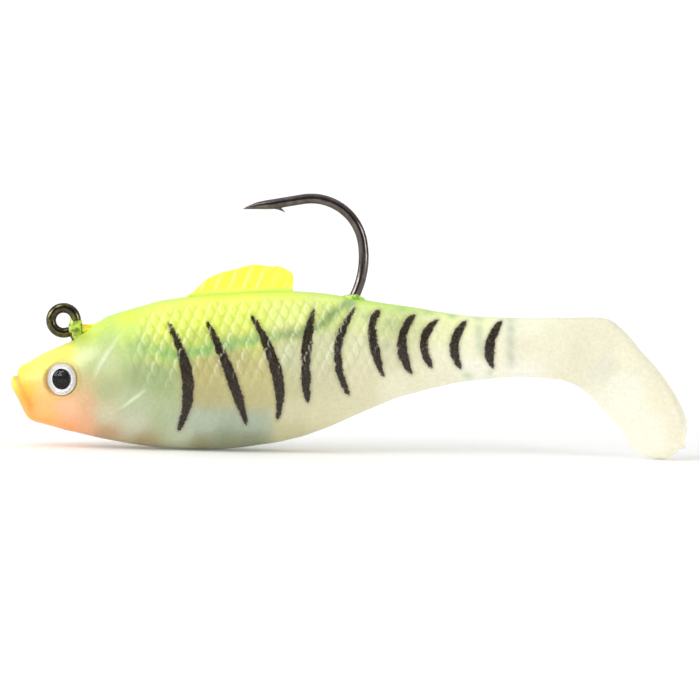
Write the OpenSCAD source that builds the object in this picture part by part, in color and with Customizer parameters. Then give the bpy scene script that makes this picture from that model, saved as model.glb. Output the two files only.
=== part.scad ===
// Soft swimbait: a translucent soft-plastic fish moulded round a lead jig head and a single hook,
// with a boot tail that swings on the thin stem behind the hook.
// The origin is the centre of the line-tie eye. The nose points to -X, the back to +Z,
// and the fish's left flank to -Y. Belly and tail tip rest on the same level.

/* [Hook] */
// Diameter of the hook wire
wire_d = 1.5; // [1.2:0.05:1.6]
// Radius of the line-tie eye, measured to the middle of the wire
eye_ring_r = 1.85; // [1.7:0.05:2]
// Radius of the flat land worn and forged inside the line-tie eye
eye_land_r = 1.15; // [1.12:0.01:1.2]
// Length of the neck from the line-tie eye down into the head
neck_length = 5.6; // [5.3:0.1:5.8]
// Length of the straight shank
shank_length = 31.8; // [31:0.1:32.4]
// Length of the needle at the point
point_length = 2.4; // [2:0.1:3]

/* [Flex stations] */
// Where the body flexes behind the hook, along X
body_flex_x = 50.5; // [50:0.1:51]
// Where the stem flexes, along X
stem_flex_x = 61; // [60.6:0.1:61.4]
// Where the boot tail flexes on the stem, along X
tail_flex_x = 72; // [71.8:0.1:72.2]
// Gap round each flex knuckle
knuckle_gap = 0.2; // [0.15:0.05:0.3]

/* [Dorsal fin] */
// Thickness of the fin membrane
fin_thickness = 0.9; // [0.6:0.1:1]
// Radius of the bead along the root of the fin
fin_bead_r = 0.6; // [0.5:0.05:0.65]
// Clearance between that bead and its groove in the back
fin_groove_gap = 0.15; // [0.1:0.05:0.2]

/* [Eyes] */
// Radius of each moulded fish eye
fish_eye_r = 2.4; // [2:0.1:2.5]
// Radius of the black pupil
pupil_r = 1.5; // [1.1:0.1:1.7]
// How far each eye turns towards the nose, in degrees
fish_eye_yaw = 26; // [18:1:30]
// Height of the clear dome over the iris
dome_height = 1.1; // [0.8:0.1:1.3]

/* [Mesh] */
// Points round each ring of the soft body
ring_points = 24; // [16:4:32]
// Rings between one rib and the next
rings_per_rib = 2; // [1:1:3]

/* [Hidden] */
$fn = 64;

wire_r = wire_d / 2;

// Ribs of the soft body: [back x, back z, belly x, belly z, half width, flare towards the back edge].
// From the boot on, the back edge is the rear sole of the boot and the belly edge is its front.
RIBS = [
    [-7.5, -8.8, -7.7, -9.7, 0.45, 0],
    [-7.2, -8.4, -7.45, -10.3, 1.1, 0],
    [-6.8, -8.2, -6.9, -11.2, 1.75, 0],
    [-6.5, -7.3, -6.3, -12.3, 2.15, 0],
    [-6.1, -6.75, -5.7, -13.5, 2.55, 0],
    [-5.3, -6.35, -4.95, -14.6, 2.95, 0],
    [-4.2, -5.65, -4.1, -15.1, 3.3, 0],
    [-2.8, -4.85, -2.8, -15.45, 3.8, 0],
    [-1.3, -4.15, -1.3, -15.8, 4.2, 0],
    [ 0.4, -3.35, 0.4, -16.25, 4.65, 0],
    [1.75, -2.7, 1.75, -16.5, 5.0, 0],
    [ 2.8, -1.6, 2.8, -16.75, 5.3, 0],
    [ 4.2, -0.35, 4.2, -17.05, 5.65, 0],
    [ 6.0, 0.65, 6.0, -17.4, 6.05, 0],
    [ 8.3, 1.4, 8.3, -17.8, 6.4, 0],
    [11.3, 2.35, 11.3, -18.25, 6.7, 0],
    [15.0, 3.4, 15.0, -18.6, 6.9, 0],
    [20.0, 4.2, 20.0, -18.75, 7.0, 0],
    [25.0, 4.6, 25.0, -18.5, 6.9, 0],
    [30.0, 5.0, 30.0, -17.8, 6.5, 0],
    [35.0, 5.1, 35.0, -16.7, 5.9, 0],
    [40.0, 4.75, 40.0, -14.8, 5.2, 0],
    [46.0, 3.85, 46.0, -12, 4.4, 0],
    [body_flex_x, 3.3, body_flex_x, -10.15, 3.8, 0],
    [57.5,  2.3, 57.5,  -8.2, 3.0, 0],
    [stem_flex_x, 2.0, stem_flex_x, -7.6, 2.6, 0],
    [66.0,  1.9, 66.0,  -7.0, 2.2, 0],
    [69.5,  1.9, 69.5,  -6.9, 1.9, 0],
    [tail_flex_x, 2.0, tail_flex_x, -7.0, 1.8, 0],
    [75.5,  2.1, 74.0,  -7.2, 1.8, 0.1],
    [79.0,  2.2, 76.2,  -7.9, 1.9, 0.2],
    [81.3,  1.8, 78.2,  -9.2, 2.1, 0.3],
    [83.6,  0.0, 79.8, -10.7, 2.4, 0.4],
    [86.0, -2.7, 81.3, -12.3, 2.7, 0.45],
    [88.7, -5.6, 82.8, -14.1, 3.0, 0.5],
    [91.0, -8.8, 84.2, -16.0, 3.2, 0.5],
    [92.5, -11.6, 85.6, -17.4, 3.2, 0.5],
    [92.9, -14.2, 87.0, -18.2, 2.9, 0.4],
    [92.4, -16.2, 88.4, -18.6, 2.2, 0.3],
    [91.3, -17.8, 89.8, -18.7, 1.2, 0.1]
];
BODY_FLEX_RIB = 23;
STEM_FLEX_RIB = 25;
TAIL_FLEX_RIB = 28;

// Ribs of the lead casting, in the same form
LEAD_RIBS = [
    [ 0.6, -6.2,  0.6, -12.2, 1.2, 0],
    [ 2.0, -4.5,  2.0, -14.0, 2.6, 0],
    [ 5.0, -3.2,  5.0, -15.6, 3.8, 0],
    [ 9.0, -2.6,  9.0, -16.3, 4.3, 0],
    [12.5, -3.0, 12.5, -15.8, 3.8, 0],
    [15.5, -3.0, 15.5, -13.5, 2.4, 0],
    [17.0, -3.0, 17.0, -10.5, 1.4, 0]
];

// Squareness of the soft body's and the lead's sections: 2 is an ellipse
SECTION_POWER = 2.2;

// Radii of the knuckles: wider than the body there, so that its flanks clear at the full swing
body_knuckle_r = 4.2;
stem_knuckle_r = 2.9;
tail_knuckle_r = 2.25;

// Bend of the hook, from the shank to the point: [radius, degrees turned]
HOOK_BENDS = [[9.0, 47.7], [13.1, 42], [7.7, 89.3]];
// Where the neck leaves the line-tie eye, and the headings of the neck and the shank in the side view,
// all in degrees from +X towards +Z
NECK_LEAVES = -43;
NECK_HEADING = -64;
SHANK_HEADING = 11.6;
ELBOW_R = 1.5;
POINT_STRAIGHT = 4.4;
SHOULDER = [2.2, 0.53];
LAP = 0.1;
DRAWN_DOWN = 0.01;
BARB_FROM_TIP = 4.7;
BARB_LENGTH = 1.4;

// Root line of the dorsal fin
FIN_ROOT = [18.2, 4.2];
FIN_SLOPE = 4.4;
FIN_LENGTH = 16;
// Outline of the fin above its root line: [along the root, height]
FIN_OUTLINE = [
    [0.4, 0], [1.1, 0.5], [1.75, 1.05], [2.5, 1.75], [3.3, 2.3], [5.2, 3.0], [7.5, 3.4], [9.0, 3.8],
    [10.0, 3.9], [10.9, 3.9], [12.2, 3.6], [13.6, 3.6], [14.4, 3.35], [15.0, 2.9], [15.7, 2.5], [16.0, 1.8],
    [15.85, 0.8], [15.7, 0]
];

// Centre of each fish eye on the flank of the head
FISH_EYE_AT = [0.15, 4.45, -8.45];
SOCKET_DEPTH = 0.45;
IRIS_THICKNESS = 0.3;
PUPIL_THICKNESS = 0.15;

// Foil flash: a sheet folded over the shank that hangs down on both sides of it
FOIL_THICKNESS = 0.2;
FOIL_X = [18.4, 31.4];
FOIL_BOTTOM = -12.2;
FOIL_DEPTH = 12;
FOIL_SPREAD = 1.4;
FOLD_STEPS = 12;

BIG = 60;

// Unit vector at a heading in the side view
function heading(a) = [cos(a), sin(a)];

neck_at = eye_ring_r * heading(NECK_LEAVES);
elbow_centre = neck_at + neck_length * heading(NECK_HEADING) + ELBOW_R * heading(NECK_HEADING + 90);
shank_at = elbow_centre + ELBOW_R * heading(SHANK_HEADING - 90);

// Moves its children to a point of the side view
module side_view(at) {
    translate([at[0], 0, at[1]]) children();
}

// ---- smooth lofts through ribs ----

// Catmull-Rom blend of four values
function smooth(a, b, c, d, t) =
    b + 0.5 * t * ((c - a) + t * ((2 * a - 5 * b + 4 * c - d) + t * (3 * (b - c) + d - a)));

// Rib at position u, where whole numbers are the ribs in the list
function rib_at(ribs, u) =
    let (n = len(ribs) - 1, i = min(floor(u), n - 1), t = u - i)
    smooth(ribs[max(i - 1, 0)], ribs[i], ribs[i + 1], ribs[min(i + 2, n)], t);

// Signed power, which squares off an ellipse
function squared(v) = sign(v) * pow(abs(v), 2 / SECTION_POWER);

// Closed ring of points in the plane of one rib
function ring(rib, points) = [
    for (k = [0 : points - 1])
    let (
        a = 360 * k / points,
        up = squared(sin(a)),
        out = squared(cos(a)) * rib[4] * (1 + rib[5] * up) / (1 + 0.5 * rib[5])
    )
    [
        (rib[0] + rib[2]) / 2 + (rib[0] - rib[2]) / 2 * up,
        out,
        (rib[1] + rib[3]) / 2 + (rib[1] - rib[3]) / 2 * up
    ]
];

// Closed solid through the ribs from number first to number last
module loft(ribs, first, last, points) {
    steps = (last - first) * rings_per_rib;
    rings = [for (s = [0 : steps]) ring(rib_at(ribs, first + s / rings_per_rib), points)];
    polyhedron(
        points = [for (r = rings) each r],
        faces = concat(
            [[for (k = [0 : points - 1]) k]],
            [for (s = [0 : steps - 1], k = [0 : points - 1])
                let (a = s * points + k, b = s * points + (k + 1) % points) [a, a + points, b]],
            [for (s = [0 : steps - 1], k = [0 : points - 1])
                let (a = s * points + k, b = s * points + (k + 1) % points) [b, a + points, b + points]],
            [[for (k = [points - 1 : -1 : 0]) steps * points + k]]
        ),
        convexity = 6
    );
}

// ---- flex knuckles: upright round ends on which one stretch of the body swings on the next ----

module knuckle(x, r) {
    translate([x, 0, -BIG / 2]) cylinder(r = r, h = BIG);
}

// Everything in front of a flex station except its round knuckle
module ahead_of_knuckle(x, r) {
    difference() {
        translate([x - BIG, -BIG / 2, -BIG / 2]) cube(BIG);
        knuckle(x, r);
    }
}

// ---- hook ----

// Straight wire along +X that laps a little over the bends before and after it
module straight_wire(length) {
    translate([-LAP, 0, 0]) rotate([0, 90, 0]) cylinder(r = wire_r, h = length + 2 * LAP);
}

// Wire that starts at the origin along +X and turns towards +Z through each [radius, angle] in turn.
// A bent stretch is drawn down a hair thinner than the straight wire, and a short collar joins two bends.
module bends(list, i = 0) {
    if (i < len(list)) {
        r = list[i][0];
        angle = list[i][1];
        if (i > 0) straight_wire(0);
        translate([0, 0, r]) rotate([90, 0, 0])
            rotate([0, 0, -90]) rotate_extrude(angle = angle) translate([r, 0]) circle(wire_r - DRAWN_DOWN);
        translate([r * sin(angle), 0, r * (1 - cos(angle))]) rotate([0, -angle, 0]) bends(list, i + 1) children();
    } else {
        children();
    }
}

// Straight end, ground shoulder, needle, and the barb on the side that faces the shank
module hook_point() {
    straight_wire(POINT_STRAIGHT - LAP);
    translate([POINT_STRAIGHT, 0, 0]) rotate([0, 90, 0]) cylinder(r1 = wire_r, r2 = SHOULDER[1], h = SHOULDER[0]);
    translate([POINT_STRAIGHT + SHOULDER[0], 0, 0]) rotate([0, 90, 0])
        cylinder(r1 = SHOULDER[1], r2 = 0.06, h = point_length);
    barb_x = POINT_STRAIGHT + SHOULDER[0] + point_length - BARB_FROM_TIP;
    translate([barb_x, 0.2, 0]) rotate([90, 0, 0]) linear_extrude(height = 0.4)
        polygon([[0, 0.2], [-BARB_LENGTH, 1.15], [-0.5, 0.45], [-1.2, 0.2]]);
}

module line_tie_ring() {
    rotate([90, 0, 0]) rotate_extrude() translate([eye_ring_r, 0]) circle(wire_r);
}

module hook_wire() {
    line_tie_ring();
    side_view(neck_at) rotate([0, -NECK_HEADING, 0]) {
        straight_wire(neck_length);
        translate([neck_length, 0, 0]) bends([[ELBOW_R, SHANK_HEADING - NECK_HEADING]]) {
            straight_wire(shank_length);
            translate([shank_length, 0, 0]) bends(HOOK_BENDS) hook_point();
        }
    }
}

module hook() {
    color("#3a3230") difference() {
        hook_wire();
        rotate([90, 0, 0]) cylinder(r = eye_land_r, h = 4 * wire_d, center = true);
    }
}

// ---- lead and foil inside the body ----

module lead_blank() {
    loft(LEAD_RIBS, 0, len(LEAD_RIBS) - 1, 16);
}

module lead_jig_head() {
    color("#8b8d90") difference() {
        lead_blank();
        hook_wire();
    }
}

// Arc of points over the top of the shank, from heading a to heading b
function fold_arc(r, a, b) = [for (i = [0 : FOLD_STEPS]) r * heading(a + (b - a) * i / FOLD_STEPS)];

// The fold of the foil, looking along the shank: flat-sided, and a hair clear of the wire
module foil_profile() {
    inner = (wire_r + 0.03) / cos(90 / FOLD_STEPS);
    outer = inner + FOIL_THICKNESS;
    polygon(concat(
        [[-outer - FOIL_SPREAD, -FOIL_DEPTH]],
        fold_arc(outer, 180, 0),
        [[outer + FOIL_SPREAD, -FOIL_DEPTH], [inner + FOIL_SPREAD, -FOIL_DEPTH]],
        fold_arc(inner, 0, 180),
        [[-inner - FOIL_SPREAD, -FOIL_DEPTH]]
    ));
}

module foil_flash() {
    color("#cfc48f") intersection() {
        side_view(shank_at) rotate([0, -SHANK_HEADING, 0]) rotate([90, 0, 90])
            linear_extrude(height = shank_length) foil_profile();
        translate([FOIL_X[0], -BIG / 2, FOIL_BOTTOM]) cube([FOIL_X[1] - FOIL_X[0], BIG, BIG]);
    }
}

// ---- fish eyes: side is -1 for the left flank and 1 for the right ----

// Puts its children at an eye, with +Z pointing out of the head
module at_fish_eye(side) {
    translate([FISH_EYE_AT[0], side * FISH_EYE_AT[1], FISH_EYE_AT[2]])
        rotate([0, 0, side * fish_eye_yaw]) rotate([-side * 90, 0, 0]) children();
}

module eye_socket(side) {
    at_fish_eye(side) translate([0, 0, -SOCKET_DEPTH]) cylinder(r = fish_eye_r, h = 4);
}

module iris(side) {
    color("#e8e8ee") at_fish_eye(side) translate([0, 0, -SOCKET_DEPTH])
        cylinder(r = fish_eye_r, h = IRIS_THICKNESS);
}

module pupil(side) {
    color("#141211") at_fish_eye(side) translate([0, 0, IRIS_THICKNESS - SOCKET_DEPTH])
        cylinder(r = pupil_r, h = PUPIL_THICKNESS);
}

// Clear cap, cut from a sphere, that closes over the iris and the pupil
module eye_dome(side) {
    ball_r = (fish_eye_r * fish_eye_r + dome_height * dome_height) / (2 * dome_height);
    color([0.9, 0.95, 1, 0.4]) at_fish_eye(side) translate([0, 0, IRIS_THICKNESS - SOCKET_DEPTH]) difference() {
        translate([0, 0, dome_height - ball_r]) sphere(r = ball_r);
        translate([0, 0, -BIG]) cylinder(r = 2 * ball_r, h = BIG);
        translate([0, 0, -1]) cylinder(r = pupil_r, h = 1 + PUPIL_THICKNESS);
    }
}

// ---- dorsal fin ----

module along_fin_root() {
    side_view(FIN_ROOT) rotate([0, -FIN_SLOPE, 0]) children();
}

module fin_groove() {
    r = fin_bead_r + fin_groove_gap;
    along_fin_root() translate([-fin_groove_gap, 0, 0]) rotate([0, 90, 0])
        cylinder(r = r, h = FIN_LENGTH + 2 * fin_groove_gap);
}

module dorsal_fin() {
    color("#ffff3c") along_fin_root() {
        rotate([0, 90, 0]) cylinder(r = fin_bead_r, h = FIN_LENGTH);
        translate([0, fin_thickness / 2, 0]) rotate([90, 0, 0])
            linear_extrude(height = fin_thickness) polygon(FIN_OUTLINE);
    }
}

// ---- soft body ----

module front_body() {
    color("#d8e88a") difference() {
        loft(RIBS, 0, BODY_FLEX_RIB, ring_points);
        lead_blank();
        hook_wire();
        knuckle(body_flex_x, body_knuckle_r + knuckle_gap);
        fin_groove();
        foil_flash();
        eye_socket(-1);
        eye_socket(1);
    }
}

module mid_section() {
    color("#e6e6c8") difference() {
        loft(RIBS, BODY_FLEX_RIB - 1, STEM_FLEX_RIB, ring_points);
        ahead_of_knuckle(body_flex_x, body_knuckle_r);
        knuckle(stem_flex_x, stem_knuckle_r + knuckle_gap);
    }
}

module tail_stem() {
    color("#efeed6") difference() {
        loft(RIBS, STEM_FLEX_RIB - 1, TAIL_FLEX_RIB, ring_points);
        ahead_of_knuckle(stem_flex_x, stem_knuckle_r);
        knuckle(tail_flex_x, tail_knuckle_r + knuckle_gap);
    }
}

module boot_tail() {
    color("#f6f3de") difference() {
        loft(RIBS, TAIL_FLEX_RIB - 1, len(RIBS) - 1, ring_points);
        ahead_of_knuckle(tail_flex_x, tail_knuckle_r);
    }
}

front_body();
mid_section();
tail_stem();
boot_tail();
dorsal_fin();
lead_jig_head();
hook();
foil_flash();
iris(-1);  // iris_left
pupil(-1);  // pupil_left
eye_dome(-1);  // eye_dome_left
iris(1);  // iris_right
pupil(1);  // pupil_right
eye_dome(1);  // eye_dome_right
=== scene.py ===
"""Looks for the soft swimbait: soft-plastic skin, dorsal fin, domed eyes, hook, foil and lead.

All shapes are worked out in millimetres in the row frame (nose to -X, back to +Z, left flank to -Y,
origin at the centre of the line-tie eye) and turned into metres when the meshes are made.
"""

import math

import bmesh
import bpy
import numpy as np
from mathutils import Matrix, Vector, noise


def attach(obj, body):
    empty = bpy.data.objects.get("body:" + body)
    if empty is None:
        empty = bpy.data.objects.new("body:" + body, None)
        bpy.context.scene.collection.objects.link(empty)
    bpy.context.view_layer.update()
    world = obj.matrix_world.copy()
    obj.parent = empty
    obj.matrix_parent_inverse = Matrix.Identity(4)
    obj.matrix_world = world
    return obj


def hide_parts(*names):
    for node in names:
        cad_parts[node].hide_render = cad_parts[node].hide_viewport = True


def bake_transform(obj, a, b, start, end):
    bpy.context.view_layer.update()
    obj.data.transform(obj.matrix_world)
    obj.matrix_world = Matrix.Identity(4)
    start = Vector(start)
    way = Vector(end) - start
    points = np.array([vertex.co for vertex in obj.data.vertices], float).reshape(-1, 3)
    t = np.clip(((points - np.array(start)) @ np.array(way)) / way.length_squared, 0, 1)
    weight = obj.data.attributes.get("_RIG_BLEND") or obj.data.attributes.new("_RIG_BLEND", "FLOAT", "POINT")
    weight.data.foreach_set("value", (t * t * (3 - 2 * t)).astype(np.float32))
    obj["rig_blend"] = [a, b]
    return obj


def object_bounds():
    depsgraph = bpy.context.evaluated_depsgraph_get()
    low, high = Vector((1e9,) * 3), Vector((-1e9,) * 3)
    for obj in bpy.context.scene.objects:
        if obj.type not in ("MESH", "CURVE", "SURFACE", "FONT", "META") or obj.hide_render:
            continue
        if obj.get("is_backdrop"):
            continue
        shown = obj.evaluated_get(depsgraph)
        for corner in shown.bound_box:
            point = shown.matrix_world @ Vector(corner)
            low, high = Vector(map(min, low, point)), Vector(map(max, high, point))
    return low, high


MM = 0.001
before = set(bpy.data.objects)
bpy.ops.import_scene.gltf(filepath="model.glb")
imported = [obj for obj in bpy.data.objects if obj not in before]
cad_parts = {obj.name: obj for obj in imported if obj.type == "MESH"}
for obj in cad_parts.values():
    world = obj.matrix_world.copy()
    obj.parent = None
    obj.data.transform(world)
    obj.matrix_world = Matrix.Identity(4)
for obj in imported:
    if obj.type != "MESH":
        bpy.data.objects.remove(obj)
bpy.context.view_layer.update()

# ------------------------------------------------------------------ soft body: ribs and their smooth loft

# [back x, back z, belly x, belly z, half width, flare towards the back edge], as in the CAD source
RIBS = np.array([
    [-7.5, -8.8, -7.7, -9.7, 0.45, 0],
    [-7.2, -8.4, -7.45, -10.3, 1.1, 0],
    [-6.8, -8.2, -6.9, -11.2, 1.75, 0],
    [-6.5, -7.3, -6.3, -12.3, 2.15, 0],
    [-6.1, -6.75, -5.7, -13.5, 2.55, 0],
    [-5.3, -6.35, -4.95, -14.6, 2.95, 0],
    [-4.2, -5.65, -4.1, -15.1, 3.3, 0],
    [-2.8, -4.85, -2.8, -15.45, 3.8, 0],
    [-1.3, -4.15, -1.3, -15.8, 4.2, 0],
    [0.4, -3.35, 0.4, -16.25, 4.65, 0],
    [1.75, -2.7, 1.75, -16.5, 5.0, 0],
    [2.8, -1.85, 2.8, -16.75, 5.3, 0],
    [4.2, -0.95, 4.2, -17.05, 5.65, 0],
    [6.0, 0.5, 6.0, -17.4, 6.05, 0],
    [8.3, 1.4, 8.3, -17.8, 6.4, 0],
    [11.3, 2.35, 11.3, -18.25, 6.7, 0],
    [15.0, 3.4, 15.0, -18.6, 6.9, 0],
    [20.0, 4.2, 20.0, -18.75, 7.0, 0],
    [25.0, 4.6, 25.0, -18.5, 6.9, 0],
    [30.0, 5.0, 30.0, -17.8, 6.5, 0],
    [35.0, 5.1, 35.0, -16.7, 5.9, 0],
    [40.0, 4.75, 40.0, -14.8, 5.2, 0],
    [46.0, 3.85, 46.0, -12, 4.4, 0],
    [50.5, 3.3, 50.5, -10.15, 3.8, 0],
    [57.5, 2.3, 57.5, -8.2, 3.0, 0],
    [61.0, 2.0, 61.0, -7.6, 2.6, 0],
    [66.0, 1.9, 66.0, -7.0, 2.2, 0],
    [69.5, 1.9, 69.5, -6.9, 1.9, 0],
    [72.0, 2.0, 72.0, -7.0, 1.8, 0],
    [75.5, 2.1, 74.0, -7.2, 1.8, 0.1],
    [79.0, 2.2, 76.2, -7.9, 1.9, 0.2],
    [81.3, 1.8, 78.2, -9.2, 2.1, 0.3],
    [83.6, 0.0, 79.8, -10.7, 2.4, 0.4],
    [86.0, -2.7, 81.3, -12.3, 2.7, 0.45],
    [88.7, -5.6, 82.8, -14.1, 3.0, 0.5],
    [91.0, -8.8, 84.2, -16.0, 3.2, 0.5],
    [92.5, -11.6, 85.6, -17.4, 3.2, 0.5],
    [92.9, -14.2, 87.0, -18.2, 2.9, 0.4],
    [92.4, -16.2, 88.4, -18.6, 2.2, 0.3],
    [91.3, -17.8, 89.8, -18.7, 1.2, 0.1],
])
SECTION_POWER = 2.2
RING_POINTS = 280
RING_STEP = 0.21
SEAMS = [55.7, 66.3]  # where the skin is cut, so that each length crosses one joint
TONGUE = 1.2
TONGUE_RINGS = int(TONGUE / RING_STEP)
TONGUE_SHRINK = 0.1


def ribs_at(u):
    """Ribs at positions u along the list: a Catmull-Rom curve through the list's ribs."""
    last = len(RIBS) - 1
    i = np.minimum(np.floor(u).astype(int), last - 1)
    t = (u - i)[:, None]
    a, b = RIBS[np.maximum(i - 1, 0)], RIBS[i]
    c, d = RIBS[i + 1], RIBS[np.minimum(i + 2, last)]
    return b + 0.5 * t * ((c - a) + t * ((2 * a - 5 * b + 4 * c - d) + t * (3 * (b - c) + d - a)))


def rings_of(ribs, count=RING_POINTS):
    """Closed rings of points, one for each rib: an array [ring, point, xyz]."""
    angle = 2 * np.pi * np.arange(count) / count
    power = 2 / SECTION_POWER
    up = np.sign(np.sin(angle)) * np.abs(np.sin(angle)) ** power
    out = np.sign(np.cos(angle)) * np.abs(np.cos(angle)) ** power
    r = ribs[:, :, None]
    width = r[:, 4] * (1 + r[:, 5] * up) / (1 + 0.5 * r[:, 5])
    return np.stack([
        (r[:, 0] + r[:, 2]) / 2 + (r[:, 0] - r[:, 2]) / 2 * up,
        out * width,
        (r[:, 1] + r[:, 3]) / 2 + (r[:, 1] - r[:, 3]) / 2 * up,
    ], axis=-1)


def even_stations():
    """Positions along the ribs at an even spacing that includes both seams, and the seams' indices."""
    fine = np.linspace(0, len(RIBS) - 1, 8000)
    r = ribs_at(fine)
    steps = (np.hypot(*np.diff(r[:, :2], axis=0).T) + np.hypot(*np.diff(r[:, 2:4], axis=0).T)) / 2
    length = np.concatenate([[0], np.cumsum(steps)])
    cuts = [0.0, *(float(np.interp(x, r[:, 0], length)) for x in SEAMS), float(length[-1])]
    u, marks = [0.0], []
    for a, b in zip(cuts, cuts[1:]):
        n = max(2, round((b - a) / RING_STEP))
        u += list(np.interp(np.linspace(a, b, n + 1)[1:], length, fine))
        marks.append(len(u) - 1)
    return np.array(u), marks[:-1]


# ------------------------------------------------------------------ small helpers for patterns

def smoothstep(low, high, v):
    """0 at low and 1 at high, or the other way round when low is the larger."""
    t = np.clip((v - low) / (high - low), 0, 1)
    return t * t * (3 - 2 * t)


def to_linear(rgb):
    c = np.array(rgb, float) / 255
    return np.where(c <= 0.04045, c / 12.92, ((c + 0.055) / 1.055) ** 2.4)


def distance_to_line(x, z, points):
    """Distance from each (x, z) to a polyline, and how far along it the nearest place is, from 0 to 1."""
    best, along = np.full(x.shape, 1e9), np.zeros(x.shape)
    p = np.array(points, float)
    lengths = np.hypot(*np.diff(p, axis=0).T)
    total, before = lengths.sum(), 0.0
    for a, b, n in zip(p, p[1:], lengths):
        t = np.clip(((x - a[0]) * (b[0] - a[0]) + (z - a[1]) * (b[1] - a[1])) / n**2, 0, 1)
        d = np.hypot(x - a[0] - t * (b[0] - a[0]), z - a[1] - t * (b[1] - a[1]))
        near = d < best
        best = np.where(near, d, best)
        along = np.where(near, (before + t * n) / total, along)
        before += n
    return best, along


def bow(top, middle, bottom, steps=14):
    """Points of a smooth curve through three points."""
    top, middle, bottom = (np.array(p, float) for p in (top, middle, bottom))
    pull = 2 * middle - (top + bottom) / 2
    t = np.linspace(0, 1, steps)[:, None]
    return (1 - t) ** 2 * top + 2 * t * (1 - t) * pull + t**2 * bottom


def lumps(points, scale, seed):
    """Smooth noise at each point, about -1 to 1, with features of that size in millimetres."""
    shift = Vector((seed * 17.3, seed * 5.1, seed * 9.7))
    return np.array([noise.noise(Vector(p) / scale + shift) for p in points])


# ------------------------------------------------------------------ what the skin shows

# Each stripe: top, middle and bottom in the side view, its greatest width, and how much of it tapers
# at the top
STRIPES = [
    ((15.6, -0.3), (18.6, -8.4), (17.4, -15.8), 1.6, 0.35),
    ((21.4, 0.0), (24.95, -7.6), (27.4, -14.7), 1.45, 0.35),
    ((27.9, 1.15), (31.7, -6.7), (32.1, -13.9), 1.5, 0.35),
    ((37.1, 2.4), (36.1, -3.9), (36.5, -11.2), 1.45, 0.35),
    ((43.1, 2.6), (40.8, -3.5), (42.5, -10.0), 1.15, 0.3),
    ((46.9, 2.5), (45.85, -0.9), (47.6, -7.1), 1.25, 0.12),
    ((52.0, 1.9), (50.3, -2.2), (51.8, -6.7), 1.35, 0.18),
    ((55.6, 1.3), (53.6, -1.8), (54.8, -5.8), 1.25, 0.3),
    ((59.8, 1.2), (58.1, -2.2), (59.1, -5.8), 1.3, 0.2),
    ((65.0, 1.3), (63.4, -2.2), (63.9, -5.6), 1.4, 0.25),
]

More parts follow.
